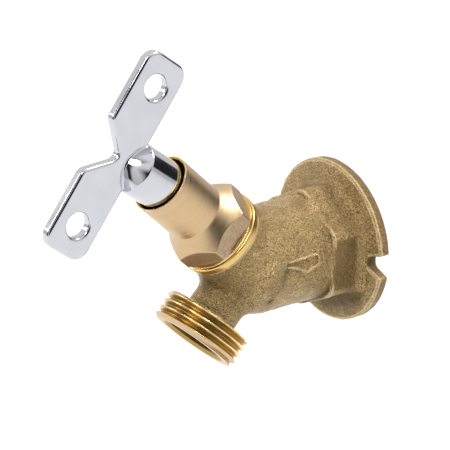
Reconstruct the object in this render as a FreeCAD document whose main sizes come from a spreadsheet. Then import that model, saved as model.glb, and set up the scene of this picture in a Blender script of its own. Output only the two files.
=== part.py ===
import FreeCAD, Part

import math
import os

import Sketcher
from FreeCAD import Placement, Rotation, Vector

# Loose-key hose bib (sillcock): a cast brass valve with a wall flange, a bonnet branch that
# rises towards the user, a hose outlet that points down towards the user, and a loose key.
#
# Frame, in millimetres: the wall face is the plane y = 0 and the inlet axis is the Y axis.
# The valve stands out from the wall towards -Y, +Z is up, and x = 0 holds all three axes.
#
# Three lines carry everything else. A place on one of them is a distance from its start:
#   inlet axis    from the wall face straight out, along -Y
#   bonnet axis   from the inlet axis, forward and up
#   outlet axis   from the inlet axis, forward and down

DIMENSIONS = {
    # wall flange and wrench boss
    "flange_radius": 24.0,
    "flange_thickness": 3.5,
    "flange_edge": 0.7,
    "casting_clock": -4.0,
    "boss_across_flats": 32.0,
    "boss_corner_radius": 17.8,
    "boss_front": 14.2,
    "boss_front_chamfer": 1.2,
    "boss_chamfer_slope": 1.6,
    "flange_root_radius": 19.6,
    "flange_root_length": 3.2,
    "barrel_root_step": 0.8,
    "slot_root_radius": 2.4,
    "slot_root_distance": 20.4,
    "slot_root_width": 4.8,
    "slot_mouth_width": 7.4,
    # barrel and its rounded front end
    "barrel_radius": 15.2,
    "bonnet_axis_start": 31.4,
    "bonnet_axis_rise": 44.0,
    "outlet_axis_start": 32.2,
    "outlet_axis_dip": 45.0,
    # bonnet branch
    "neck_radius": 12.4,
    "face_ring_radius": 12.8,
    "face_ring_bottom": 14.6,
    "face_ring_top": 16.3,
    "face_ring_edge": 0.25,
    # hose outlet, 3/4-11.5 hose thread
    "spout_radius": 7.7,
    "spout_flare_radius": 9.3,
    "spout_flare_start": 17.9,
    "collar_back": 19.3,
    "collar_end": 27.6,
    "collar_end_radius": 12.4,
    "thread_crest_radius": 13.45,
    "thread_root_radius": 12.1,
    "thread_pitch": 2.209,
    "thread_first_crest": 19.8,
    "thread_flat": 0.32,
    "thread_back_edge": 0.5,
    "last_crest_drop": 0.1,
    # waterways
    "inlet_tap_radius": 9.13,
    "inlet_tap_depth": 16.0,
    "inlet_bore_radius": 7.0,
    "inlet_bore_end": 28.5,
    "seat_bore_radius": 4.8,
    "seat_bore_start": -5.0,
    "seat_boss_radius": 6.6,
    "seat_face": 4.5,
    "chamber_floor": 3.0,
    "chamber_radius": 9.9,
    "outlet_bore_radius": 5.7,
    "outlet_bore_start": 6.8,
    "outlet_mouth_radius": 9.0,
    "outlet_mouth_depth": 4.5,
    # clearance left between screwed and sliding pieces, and how far a cutting tool runs past
    "fit_gap": 0.05,
    "tool_overrun": 1.0,
    # bonnet with its lock shield
    "gasket_thickness": 0.6,
    "gasket_radius": 11.9,
    "bonnet_spigot_end": 9.6,
    "bonnet_spigot_edge": 0.6,
    "bonnet_across_flats": 22.6,
    "bonnet_hex_bottom": 18.05,
    "bonnet_hex_top": 21.9,
    "bonnet_washer_radius": 11.9,
    "shield_radius": 8.8,
    "shield_start": 27.5,
    "shield_rim": 43.2,
    "shield_rim_edge": 0.3,
    "shield_bore_radius": 8.0,
    "shield_bore_start": 31.5,
    "holder_recess_radius": 8.2,
    "holder_recess_top": 15.6,
    "stem_thread_radius": 4.75,
    "stuffing_box_start": 23.4,
    "stuffing_box_radius": 6.25,
    # packing stack
    "packing_washer_thickness": 1.0,
    "packing_ring_thickness": 1.6,
    "follower_thickness": 1.8,
    "packing_nut_across_flats": 12.6,
    "packing_nut_head_bottom": 31.7,
    "packing_nut_head_top": 34.1,
    "packing_nut_edge": 0.7,
    "packing_nut_edge_height": 0.4,
    # stem, in the closed position
    "stem_radius": 4.0,
    "stem_tenon_radius": 3.0,
    "stem_tenon_start": 8.9,
    "stem_collar_bottom": 11.1,
    "stem_thread_bottom": 12.2,
    "stem_thread_top": 19.0,
    "stem_thread_start": 0.35,
    "stem_thread_runout": 0.6,
    "stem_square": 6.35,
    "stem_square_bottom": 34.3,
    "stem_top": 39.5,
    "stem_tip_edge": 0.5,
    # disc holder, seat washer and its screw
    "holder_radius": 7.2,
    "holder_skirt_bottom": 5.7,
    "holder_top": 11.0,
    "holder_edge": 1.2,
    "washer_radius": 6.4,
    "washer_bottom": 4.52,
    "washer_top": 7.1,
    "washer_edge": 0.4,
    "washer_screw_radius": 1.55,
    "washer_screw_head_radius": 2.9,
    "washer_screw_head_height": 1.3,
    "washer_screw_head_edge": 0.9,
    "washer_screw_top": 8.4,
    "washer_screw_slot": 0.8,
    "washer_screw_slot_depth": 0.6,
    # loose key, measured along its own axis from the rim of the shield
    "key_droop": 6.6,
    "key_rim_offset": -0.25,
    "key_nose_end": -7.6,
    "key_nose_radius": 6.5,
    "key_nose_top": -5.0,
    "key_edge": 0.4,
    "key_barrel_radius": 7.4,
    "key_barrel_top": 10.3,
    "key_dome_top": 15.4,
    "key_socket_square": 7.9,
    "key_socket_depth": 7.0,
    "key_wing_thickness": 3.3,
    "key_wing_bottom": 11.1,
    "key_wing_top": 26.1,
    "key_half_span": 29.9,
    "key_corner_radius": 4.0,
    "key_notch_half_width": 7.8,
    "key_notch_bottom": 18.2,
    "key_notch_floor_half_width": 0.9,
    "key_hole_radius": 3.6,
    "key_hole_span": 21.2,
    "key_hole_height": 18.5,
}

doc = FreeCAD.newDocument("hose_bib")
sheet = doc.addObject("Spreadsheet::Sheet", "Dims")
for row, (alias, number) in enumerate(DIMENSIONS.items(), start=1):
    sheet.set("A%d" % row, alias)
    sheet.set("B%d" % row, str(number))
    sheet.setAlias("B%d" % row, alias)
doc.recompute()


class Size:
    """A length that knows both its number and the sheet expression that gives it."""

    def __init__(self, number, text):
        self.number = float(number)
        self.text = text

    def combined(self, other, sign, number):
        other_text = other.text if isinstance(other, Size) else repr(float(other))
        return Size(number, "(%s %s %s)" % (self.text, sign, other_text))

    def __add__(self, other):
        return self.combined(other, "+", self.number + float(other))

    def __sub__(self, other):
        return self.combined(other, "-", self.number - float(other))

    def __mul__(self, other):
        return self.combined(other, "*", self.number * float(other))

    def __truediv__(self, other):
        return self.combined(other, "/", self.number / float(other))

    def __neg__(self):
        return self * -1

    def __float__(self):
        return self.number


ZERO = Size(0, "0")


def dim(alias):
    """The size kept in the sheet under this alias."""
    return Size(DIMENSIONS[alias], "Dims." + alias)


def bind(obj, **sizes):
    """Tie properties of a document object to sheet sizes."""
    for name, size in sizes.items():
        obj.setExpression(name, size.text)


# ---------------------------------------------------------------- axes

LOCAL_Z = Vector(0, 0, 1)


def tilted(direction, start):
    """Placement that lays local Z along a direction in the plane x = 0, keeping local X."""
    angle = math.degrees(math.atan2(-direction.y, direction.z))
    return Placement(start, Rotation(Vector(1, 0, 0), angle))


def on_inlet(distance):
    return Vector(0, -distance, 0)


rise = math.radians(DIMENSIONS["bonnet_axis_rise"])
dip = math.radians(DIMENSIONS["outlet_axis_dip"])
droop = math.radians(DIMENSIONS["key_droop"])
BONNET_DIRECTION = Vector(0, -math.cos(rise), math.sin(rise))
OUTLET_DIRECTION = Vector(0, -math.cos(dip), -math.sin(dip))
KEY_DIRECTION = Vector(0, -math.cos(rise - droop), math.sin(rise - droop))
ABOVE_BONNET = Vector(0, math.sin(rise), math.cos(rise))

BONNET_START = on_inlet(DIMENSIONS["bonnet_axis_start"])
OUTLET_START = on_inlet(DIMENSIONS["outlet_axis_start"])
KEY_START = (
    BONNET_START
    + BONNET_DIRECTION * DIMENSIONS["shield_rim"]
    + ABOVE_BONNET * DIMENSIONS["key_rim_offset"]
)

WALL_TURN = Rotation(Vector(0, 1, 0), -DIMENSIONS["casting_clock"])
WALL = Placement(Vector(0, 0, 0), WALL_TURN.multiply(Rotation(Vector(1, 0, 0), 90)))
BONNET = tilted(BONNET_DIRECTION, BONNET_START)
OUTLET = tilted(OUTLET_DIRECTION, OUTLET_START)
KEY = tilted(KEY_DIRECTION, KEY_START)


# ---------------------------------------------------------------- building blocks

def new_body(name, placement=Placement()):
    """A PartDesign body standing on one of the axes."""
    body = doc.addObject("PartDesign::Body", name)
    body.Label = name
    body.Placement = placement
    return body


def origin_plane(body, role):
    return next(item for item in body.Origin.OriginFeatures if item.Role == role)


def sketch_on(body, name, role):
    sketch = body.newObject("Sketcher::SketchObject", name)
    sketch.AttachmentSupport = [(origin_plane(body, role), "")]
    sketch.MapMode = "FlatFace"
    return sketch


def locate(sketch, index, across, along):
    """Place the start of line number index at the given distances from the origin."""
    if across.number == 0:
        sketch.addConstraint(Sketcher.Constraint("PointOnObject", index, 1, -2))
    else:
        rule = Sketcher.Constraint("DistanceX", -1, 1, index, 1, across.number)
        sketch.setExpression("Constraints[%d]" % sketch.addConstraint(rule), across.text)
    if along.number == 0:
        sketch.addConstraint(Sketcher.Constraint("PointOnObject", index, 1, -1))
    else:
        rule = Sketcher.Constraint("DistanceY", -1, 1, index, 1, along.number)
        sketch.setExpression("Constraints[%d]" % sketch.addConstraint(rule), along.text)


def draw_loop(sketch, corners):
    """A closed loop of straight lines through corners, each a pair of sizes."""
    first = sketch.GeometryCount
    count = len(corners)
    points = [Vector(float(across), float(along), 0) for across, along in corners]
    for number in range(count):
        line = Part.LineSegment(points[number], points[(number + 1) % count])
        sketch.addGeometry(line, False)
    for number in range(count):
        following = first + (number + 1) % count
        sketch.addConstraint(Sketcher.Constraint("Coincident", first + number, 2, following, 1))
    for number, (across, along) in enumerate(corners):
        locate(sketch, first + number, across, along)


def draw_circle(sketch, radius, across=ZERO, along=ZERO):
    """A circle whose centre and radius follow the sheet."""
    centre = Vector(float(across), float(along), 0)
    index = sketch.addGeometry(Part.Circle(centre, Vector(0, 0, 1), float(radius)), False)
    if across.number == 0 and along.number == 0:
        sketch.addConstraint(Sketcher.Constraint("Coincident", index, 3, -1, 1))
    else:
        side = Sketcher.Constraint("DistanceX", -1, 1, index, 3, across.number)
        sketch.setExpression("Constraints[%d]" % sketch.addConstraint(side), across.text)
        height = Sketcher.Constraint("DistanceY", -1, 1, index, 3, along.number)
        sketch.setExpression("Constraints[%d]" % sketch.addConstraint(height), along.text)
    rule = Sketcher.Constraint("Radius", index, radius.number)
    sketch.setExpression("Constraints[%d]" % sketch.addConstraint(rule), radius.text)


def revolve(body, name, corners, kind="PartDesign::Revolution"):
    """Turn a closed profile of (radius, height) corners once round the body's Z axis."""
    sketch = sketch_on(body, name + "_profile", "XZ_Plane")
    draw_loop(sketch, corners)
    feature = body.newObject(kind, name)
    feature.Profile = sketch
    feature.ReferenceAxis = (sketch, ["V_Axis"])
    feature.Angle = 360
    body.Tip = feature
    return feature


def hexagon(across_flats):
    """Corners of a hexagon whose flats face +X and -X."""
    flat = across_flats / 2
    side = across_flats / (2 * math.sqrt(3))
    point = across_flats / math.sqrt(3)
    return [(flat, -side), (flat, side), (ZERO, point), (-flat, side), (-flat, -side),
            (ZERO, -point)]


def square(width):
    half = width / 2
    return [(half, -half), (half, half), (-half, half), (-half, -half)]


def trim_outside(body, name, outline, radius, bottom, top):
    """Cut away all that lies outside an outline between two heights."""
    before = body_volume(body)
    sketch = sketch_on(body, name + "_profile", "XY_Plane")
    bind(sketch, **{"AttachmentOffset.Base.z": bottom})
    draw_circle(sketch, radius)
    draw_loop(sketch, outline)
    feature = body.newObject("PartDesign::Pocket", name)
    feature.Profile = sketch
    feature.Reversed = True
    bind(feature, Length=top - bottom)
    body.Tip = feature
    require_less(body, before, name)
    return feature


def cut_prism(body, name, outline, bottom, top):
    """Cut a straight-sided hole of the given outline between two heights."""
    before = body_volume(body)
    sketch = sketch_on(body, name + "_profile", "XY_Plane")
    bind(sketch, **{"AttachmentOffset.Base.z": bottom})
    draw_loop(sketch, outline)
    feature = body.newObject("PartDesign::Pocket", name)
    feature.Profile = sketch
    feature.Reversed = True
    bind(feature, Length=top - bottom)
    body.Tip = feature
    require_less(body, before, name)
    return feature


def body_volume(body):
    doc.recompute()
    return body.Shape.Volume


def require_less(body, before, name):
    """A pocket that points away from the solid removes nothing, so the volume must fall."""
    after = body_volume(body)
    if not after < before - 1e-3:
        raise RuntimeError("%s removed nothing: %.3f to %.3f" % (name, before, after))


def cylinder(name, placement, radius, bottom, top):
    """A plain cylinder along one of the axes, between two distances."""
    solid = doc.addObject("Part::Cylinder", name)
    bind(solid, Radius=radius, Height=top - bottom)
    solid.Placement = placement.multiply(Placement(LOCAL_Z * float(bottom), Rotation()))
    return solid


def cone(name, placement, bottom_radius, top_radius, bottom, top):
    solid = doc.addObject("Part::Cone", name)
    bind(solid, Radius1=bottom_radius, Radius2=top_radius, Height=top - bottom)
    solid.Placement = placement.multiply(Placement(LOCAL_Z * float(bottom), Rotation()))
    return solid


def hex_prism(name, placement, across_flats, bottom, top):
    """A hexagonal prism whose flats face +X and -X before it is clocked."""
    solid = doc.addObject("Part::Prism", name)
    solid.Polygon = 6
    bind(solid, Circumradius=across_flats / math.sqrt(3), Height=top - bottom)
    quarter = Rotation(LOCAL_Z, 30)
    solid.Placement = placement.multiply(Placement(LOCAL_Z * float(bottom), quarter))
    return solid


def fuse(name, solids):
    joined = doc.addObject("Part::MultiFuse", name)
    joined.Shapes = solids
    joined.Refine = True
    return joined


def cut(name, base, tool):
    remainder = doc.addObject("Part::Cut", name)
    remainder.Base = base
    remainder.Tool = tool
    return remainder


def common(name, base, tool):
    shared = doc.addObject("Part::Common", name)
    shared.Base = base
    shared.Tool = tool
    return shared


# ---------------------------------------------------------------- valve body

def wall_flange():
    """The round flange, its root and the barrel, turned about the inlet axis."""
    body = new_body("wall_flange", WALL)
    thickness = dim("flange_thickness")
    edge = dim("flange_edge")
    root_top = thickness + dim("flange_root_length")
    step = dim("barrel_root_step")
    revolve(body, "wall_flange_turned", [
        (ZERO, ZERO),
        (dim("flange_radius"), ZERO),
        (dim("flange_radius"), thickness - edge),
        (dim("flange_radius") - edge, thickness),
        (dim("flange_root_radius"), thickness),
        (dim("barrel_radius") + step, root_top),
        (dim("barrel_radius"), root_top + step),
        (dim("barrel_radius"), dim("bonnet_axis_start")),
        (ZERO, dim("bonnet_axis_start")),
    ])
    return body


def wrench_boss():
    """The hexagon beside the flange, with its points turned down and its front edge broken."""
    front = dim("boss_front")
    chamfer = dim("boss_front_chamfer")
    block = hex_prism("wrench_boss_block", WALL, dim("boss_across_flats"), ZERO, front)
    envelope = new_body("wrench_boss_envelope", WALL)
    revolve(envelope, "wrench_boss_envelope_turned", [
        (ZERO, ZERO),
        (dim("boss_corner_radius"), ZERO),
        (dim("boss_corner_radius"), front - chamfer),
        (dim("boss_corner_radius") - chamfer * DIMENSIONS["boss_chamfer_slope"], front),
        (ZERO, front),
    ])
    return common("wrench_boss", block, envelope)


def hose_collar():
    """The threaded collar of the hose outlet, with its crests as rings of the thread's pitch."""
    crest = dim("thread_crest_radius")
    root = dim("thread_root_radius")
    flat = dim("thread_flat")
    pitch = dim("thread_pitch")
    start = dim("collar_back")
    drop = dim("last_crest_drop")
    profile = [(ZERO, start), (crest - dim("thread_back_edge"), start)]
    for turn in range(3):
        peak = dim("thread_first_crest") + pitch * turn
        profile += [
            (crest, peak - flat * 0.5),
            (crest, peak + flat * 0.5),
            (root, peak + (pitch - flat) * 0.5),
            (root, peak + (pitch + flat) * 0.5),
        ]
    last_crest = dim("thread_first_crest") + pitch * 3
    profile += [
        (crest - drop, last_crest - flat * 0.5),
        (crest - drop * 2, last_crest + flat * 0.5),
        (dim("collar_end_radius"), dim("collar_end")),
        (ZERO, dim("collar_end")),
    ]
    body = new_body("hose_collar", OUTLET)
    revolve(body, "hose_collar_turned", profile)
    return body


def screw_slot(name, side):
    """A tool that opens one screw slot at the rim of the flange: a round root, a flared mouth."""
    overrun = dim("tool_overrun")
    reach = dim("flange_radius") + overrun
    depth = dim("flange_thickness") + overrun
    root = dim("slot_root_width") / 2
    mouth = dim("slot_mouth_width") / 2
    turned = WALL.multiply(Placement(Vector(0, 0, 0), Rotation(LOCAL_Z, 0 if side > 0 else 180)))
    flare = new_body(name + "_flare", turned)
    sketch = sketch_on(flare, name + "_profile", "XY_Plane")
    bind(sketch, **{"AttachmentOffset.Base.z": -overrun})
    draw_loop(sketch, [
        (dim("slot_root_distance"), -root),
        (reach, -mouth),
        (reach, mouth),
        (dim("slot_root_distance"), root),
    ])
    pad = flare.newObject("PartDesign::Pad", name + "_pad")
    pad.Profile = sketch
    bind(pad, Length=depth + overrun)
    flare.Tip = pad
    centre = turned.multiply(Placement(Vector(DIMENSIONS["slot_root_distance"], 0, 0), Rotation()))
    hole = cylinder(name + "_root", centre, dim("slot_root_radius"), -overrun, depth)
    return [flare, hole]


def valve_body():
    front_ball = doc.addObject("Part::Sphere", "barrel_front")
    bind(front_ball, Radius=dim("barrel_radius"))
    front_ball.Placement = Placement(BONNET_START, Rotation())
    overrun = dim("tool_overrun")
    ring_top = dim("face_ring_top")
    ring_edge = dim("face_ring_edge")
    ring = new_body("bonnet_face_ring", BONNET)
    revolve(ring, "bonnet_face_ring_turned", [
        (ZERO, dim("face_ring_bottom")),
        (dim("face_ring_radius"), dim("face_ring_bottom")),
        (dim("face_ring_radius"), ring_top - ring_edge),
        (dim("face_ring_radius") - ring_edge, ring_top),
        (ZERO, ring_top),
    ])
    casting = fuse("casting", [
        wall_flange(),
        wrench_boss(),
        front_ball,
        cylinder("bonnet_neck", BONNET, dim("neck_radius"), ZERO, dim("face_ring_bottom")),
        ring,
        cylinder("spout", OUTLET, dim("spout_radius"), ZERO, dim("collar_back")),
        cone("spout_flare", OUTLET, dim("spout_radius"), dim("spout_flare_radius"),
             dim("spout_flare_start"), dim("collar_back")),
        hose_collar(),
    ])
    chamber = cut(
        "valve_chamber",
        cylinder("chamber_bore", BONNET, dim("chamber_radius"), dim("chamber_floor"),
                 ring_top + overrun),
        cylinder("seat_boss", BONNET, dim("seat_boss_radius"), ZERO, dim("seat_face")),
    )
    mouth_start = dim("collar_end") - dim("outlet_mouth_depth")
    waterways = [
        cylinder("inlet_tap_hole", WALL, dim("inlet_tap_radius"), -overrun,
                 dim("inlet_tap_depth")),
        cylinder("inlet_bore", WALL, dim("inlet_bore_radius"), ZERO, dim("inlet_bore_end")),
        cylinder("seat_bore", BONNET, dim("seat_bore_radius"), dim("seat_bore_start"),
                 dim("seat_face") + overrun),
        chamber,
        cylinder("outlet_bore", OUTLET, dim("outlet_bore_radius"), dim("outlet_bore_start"),
                 dim("collar_end")),
        cylinder("outlet_mouth", OUTLET, dim("outlet_mouth_radius"), mouth_start,
                 dim("collar_end") + overrun),
    ]
    slots = screw_slot("right_slot", 1) + screw_slot("left_slot", -1)
    return cut("valve_body", casting, fuse("waterways", waterways + slots))


# ---------------------------------------------------------------- bonnet and packing

def bonnet_gasket():
    """Flat fibre washer between the machined ring of the body and the bonnet."""
    body = new_body("bonnet_gasket", BONNET)
    bottom = dim("face_ring_top")
    top = bottom + dim("gasket_thickness")
    inner = dim("chamber_radius")
    revolve(body, "bonnet_gasket_turned", [
        (inner, bottom),
        (dim("gasket_radius"), bottom),
        (dim("gasket_radius"), top),
        (inner, top),
    ])
    return body


def lock_shield_bonnet():
    """Bonnet: screwed spigot, hexagon with a turned cone, and the long shield round the stem."""
    body = new_body("lock_shield_bonnet", BONNET)
    seat = dim("face_ring_top") + dim("gasket_thickness")
    rim = dim("shield_rim")
    edge = dim("shield_rim_edge")
    corner = dim("bonnet_across_flats") / math.sqrt(3)
    spigot = dim("chamber_radius") - dim("fit_gap")
    spigot_edge = dim("bonnet_spigot_edge")
    overrun = dim("tool_overrun")
    revolve(body, "bonnet_outside", [
        (ZERO, dim("bonnet_spigot_end")),
        (spigot - spigot_edge, dim("bonnet_spigot_end")),
        (spigot, dim("bonnet_spigot_end") + spigot_edge),
        (spigot, seat),
        (dim("bonnet_washer_radius"), seat),
        (corner, dim("bonnet_hex_bottom")),
        (corner, dim("bonnet_hex_top")),
        (dim("shield_radius"), dim("shield_start")),
        (dim("shield_radius"), rim - edge),
        (dim("shield_radius") - edge, rim),
        (ZERO, rim),
    ])
    trim_outside(body, "bonnet_hexagon", hexagon(dim("bonnet_across_flats")),
                 corner + overrun, seat, dim("shield_start"))
    thread = dim("stem_thread_radius") + dim("fit_gap")
    revolve(body, "bonnet_inside", [
        (ZERO, dim("bonnet_spigot_end") - overrun),
        (dim("holder_recess_radius"), dim("bonnet_spigot_end") - overrun),
        (dim("holder_recess_radius"), dim("holder_recess_top")),
        (thread, dim("holder_recess_top")),
        (thread, dim("stuffing_box_start")),
        (dim("stuffing_box_radius"), dim("stuffing_box_start")),
        (dim("stuffing_box_radius"), dim("shield_bore_start")),
        (dim("shield_bore_radius"), dim("shield_bore_start")),
        (dim("shield_bore_radius"), rim - edge),
        (dim("shield_bore_radius") + edge, rim),
        (dim("shield_bore_radius") + edge, rim + overrun),
        (ZERO, rim + overrun),
    ], "PartDesign::Groove")
    return body


def packing_ring(name, bottom, thickness):
    """One flat ring of the stuffing box, round the stem."""
    body = new_body(name, BONNET)
    gap = dim("fit_gap")
    inner = dim("stem_radius") + gap
    outer = dim("stuffing_box_radius") - gap
    top = bottom + thickness
    revolve(body, name + "_turned", [
        (inner, bottom),
        (outer, bottom),
        (outer, top),
        (inner, top),
    ])
    return body


def packing_nut():
    """Gland nut hidden inside the shield: a screwed shank and a hexagon head."""
    body = new_body("packing_nut", BONNET)
    gap = dim("fit_gap")
    inner = dim("stem_radius") + gap
    shank = dim("stuffing_box_radius") - gap
    corner = dim("packing_nut_across_flats") / math.sqrt(3)
    head = dim("packing_nut_head_bottom")
    top = dim("packing_nut_head_top")
    revolve(body, "packing_nut_turned", [
        (inner, follower_top()),
        (shank, follower_top()),
        (shank, head),
        (corner, head),
        (corner, top - dim("packing_nut_edge_height")),
        (corner - dim("packing_nut_edge"), top),
        (inner, top),
    ])
    trim_outside(body, "packing_nut_hexagon", hexagon(dim("packing_nut_across_flats")),
                 corner + dim("tool_overrun"), head, top)
    return body


def washer_top_height():
    return dim("stuffing_box_start") + dim("packing_washer_thickness")


def follower_bottom():
    return washer_top_height() + dim("packing_ring_thickness") * 2


def follower_top():
    return follower_bottom() + dim("follower_thickness")


# ---------------------------------------------------------------- moving pieces

def stem():
    """Valve stem in the closed position, with the square that the key turns."""
    body = new_body("stem", BONNET)
    radius = dim("stem_radius")
    thread = dim("stem_thread_radius")
    top = dim("stem_top")
    edge = dim("stem_tip_edge")
    start = dim("stem_thread_start")
    collar = thread - start
    revolve(body, "stem_turned", [
        (ZERO, dim("stem_tenon_start")),
        (dim("stem_tenon_radius"), dim("stem_tenon_start")),
        (dim("stem_tenon_radius"), dim("stem_collar_bottom")),
        (collar, dim("stem_collar_bottom")),
        (collar, dim("stem_thread_bottom") - start),
        (thread, dim("stem_thread_bottom")),
        (thread, dim("stem_thread_top") - dim("stem_thread_runout")),
        (radius, dim("stem_thread_top")),
        (radius, top - edge),
        (radius - edge, top),
        (ZERO, top),
    ])
    trim_outside(body, "stem_square_end", square(dim("stem_square")),
                 radius + dim("tool_overrun"), dim("stem_square_bottom"), top)
    return body


def disc_holder():
    """Swivelling cup that carries the seat washer on the end of the stem."""
    body = new_body("disc_holder", BONNET)
    gap = dim("fit_gap")
    screw = dim("washer_screw_radius") + gap
    tenon = dim("stem_tenon_radius") + gap
    rim = dim("washer_radius") + gap
    top = dim("holder_top")
    edge = dim("holder_edge")
    floor = dim("stem_tenon_start") - gap
    revolve(body, "disc_holder_turned", [
        (screw, dim("washer_top")),
        (rim, dim("washer_top")),
        (rim, dim("holder_skirt_bottom")),
        (dim("holder_radius"), dim("holder_skirt_bottom")),
        (dim("holder_radius"), top - edge),
        (dim("holder_radius") - edge, top),
        (tenon, top),
        (tenon, floor),
        (screw, floor),
    ])
    return body


def seat_washer():
    """Rubber washer that closes on the seat."""
    body = new_body("seat_washer", BONNET)
    inner = dim("washer_screw_radius") + dim("fit_gap")
    outer = dim("washer_radius")
    edge = dim("washer_edge")
    revolve(body, "seat_washer_turned", [
        (inner, dim("washer_bottom")),
        (outer - edge, dim("washer_bottom")),
        (outer, dim("washer_bottom") + edge),
        (outer, dim("washer_top")),
        (inner, dim("washer_top")),
    ])
    return body


def washer_screw():
    """Round-head screw that holds the seat washer in its cup."""
    body = new_body("washer_screw", BONNET)
    head_top = dim("washer_bottom")
    head = dim("washer_screw_head_radius")
    height = dim("washer_screw_head_height")
    bottom = head_top - height
    revolve(body, "washer_screw_turned", [
        (ZERO, bottom),
        (head - dim("washer_screw_head_edge"), bottom),
        (head, bottom + height / 2),
        (head, head_top),
        (dim("washer_screw_radius"), head_top),
        (dim("washer_screw_radius"), dim("washer_screw_top")),
        (ZERO, dim("washer_screw_top")),
    ])
    half = dim("washer_screw_slot") / 2
    overrun = dim("tool_overrun")
    reach = head + overrun
    cut_prism(body, "washer_screw_drive", [
        (reach, -half),
        (reach, half),
        (-reach, half),
        (-reach, -half),
    ], bottom - overrun, bottom + dim("washer_screw_slot_depth"))
    return body


def key_barrel():
    """Round shank of the key with its reduced nose and the square socket."""
    body = new_body("key_barrel", KEY)
    edge = dim("key_edge")
    barrel = dim("key_barrel_radius")
    nose = dim("key_nose_radius")
    nose_end = dim("key_nose_end")
    revolve(body, "key_barrel_turned", [
        (ZERO, nose_end),
        (nose - edge, nose_end),
        (nose, nose_end + edge),
        (nose, dim("key_nose_top")),
        (barrel - edge, dim("key_nose_top")),
        (barrel, dim("key_nose_top") + edge),
        (barrel, dim("key_barrel_top")),
        (ZERO, dim("key_barrel_top")),
    ])
    cut_prism(body, "key_socket", square(dim("key_socket_square")),
              nose_end - dim("tool_overrun"), nose_end + dim("key_socket_depth"))
    return body


def key_dome():
    """Domed end of the shank that runs up on both faces of the wings."""
    dome = doc.addObject("Part::Ellipsoid", "key_dome")
    bind(dome, Radius1=dim("key_dome_top") - dim("key_barrel_top"),
         Radius2=dim("key_barrel_radius"), Radius3=dim("key_barrel_radius"))
    dome.Angle1 = 0
    dome.Angle2 = 90
    dome.Placement = KEY.multiply(
        Placement(LOCAL_Z * DIMENSIONS["key_barrel_top"], Rotation()))
    return dome


def key_wings():
    """Flat cross-handle: two wings, a notch between them and a hole in each wing."""
    body = new_body("key_wings", KEY)
    span = dim("key_half_span")
    bottom = dim("key_wing_bottom")
    top = dim("key_wing_top")
    notch = dim("key_notch_half_width")
    floor = dim("key_notch_floor_half_width")
    outline = sketch_on(body, "key_wings_profile", "YZ_Plane")
    draw_loop(outline, [
        (-span, bottom),
        (span, bottom),
        (span, top),
        (notch, top),
        (floor, dim("key_notch_bottom")),
        (-floor, dim("key_notch_bottom")),
        (-notch, top),
        (-span, top),
    ])
    pad = body.newObject("PartDesign::Pad", "key_wings_pad")
    pad.Profile = outline
    pad.SideType = "Symmetric"
    bind(pad, Length=dim("key_wing_thickness"))
    body.Tip = pad
    before = body_volume(body)
    holes = sketch_on(body, "key_holes_profile", "YZ_Plane")
    draw_circle(holes, dim("key_hole_radius"), dim("key_hole_span"), dim("key_hole_height"))
    draw_circle(holes, dim("key_hole_radius"), -dim("key_hole_span"), dim("key_hole_height"))
    pocket = body.newObject("PartDesign::Pocket", "key_holes")
    pocket.Profile = holes
    pocket.SideType = "Symmetric"
    bind(pocket, Length=dim("key_wing_thickness") * 2)
    body.Tip = pocket
    require_less(body, before, "key_holes")
    round_edges(body, pocket, "key_corners", dim("key_corner_radius"), is_wing_corner)
    return body


def is_wing_corner(edge):
    """Edges across the sheet at the four far corners of the wings."""
    middle = edge.CenterOfMass
    across = abs(edge.tangentAt(edge.FirstParameter).x) > 0.99
    return across and abs(middle.y) > DIMENSIONS["key_half_span"] - 0.5


def round_edges(body, base, name, radius, wanted):
    """Fillet the edges of a feature that pass a test on their shape."""
    names = [
        "Edge%d" % number
        for number, edge in enumerate(base.Shape.Edges, start=1)
        if isinstance(edge.Curve, Part.Line) and wanted(edge)
    ]
    fillet = body.newObject("PartDesign::Fillet", name)
    fillet.Base = (base, names)
    bind(fillet, Radius=radius)
    body.Tip = fillet
    return fillet


def loose_key():
    """The removable key: a die-cast shank, its dome and the flat wings in one piece."""
    return fuse("loose_key", [key_barrel(), key_dome(), key_wings()])


# ---------------------------------------------------------------- assembly

def build_all():
    """Every separate piece of the valve; each object's Label names its file."""
    return [
        valve_body(),
        bonnet_gasket(),
        lock_shield_bonnet(),
        packing_ring("packing_washer", dim("stuffing_box_start"), dim("packing_washer_thickness")),
        packing_ring("lower_packing_ring", washer_top_height(), dim("packing_ring_thickness")),
        packing_ring("upper_packing_ring", washer_top_height() + dim("packing_ring_thickness"),
                     dim("packing_ring_thickness")),
        packing_ring("gland_follower", follower_bottom(), dim("follower_thickness")),
        packing_nut(),
        stem(),
        disc_holder(),
        seat_washer(),
        washer_screw(),
        loose_key(),
    ]


def check_document():
    """Stop on any feature that failed to build."""
    for item in doc.Objects:
        if "Invalid" in item.State or "Error" in item.State:
            raise RuntimeError("%s did not build: %s" % (item.Name, item.State))


def check_piece(piece):
    shape = piece.Shape
    if shape.isNull() or not shape.isValid():
        raise RuntimeError("%s has no valid shape" % piece.Label)
    if len(shape.Solids) != 1:
        raise RuntimeError("%s has %d solids" % (piece.Label, len(shape.Solids)))


pieces = build_all()
doc.recompute()
check_document()
for piece in pieces:
    check_piece(piece)

os.makedirs("parts", exist_ok=True)
for piece in pieces:
    piece.Shape.exportStep("parts/%s.step" % piece.Label)
    print("%-20s %9.1f mm3" % (piece.Label, piece.Shape.Volume))
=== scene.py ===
import itertools
import math
from typing import NamedTuple

import bmesh
import bpy
import numpy as np
from mathutils import Matrix, Vector


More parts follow.
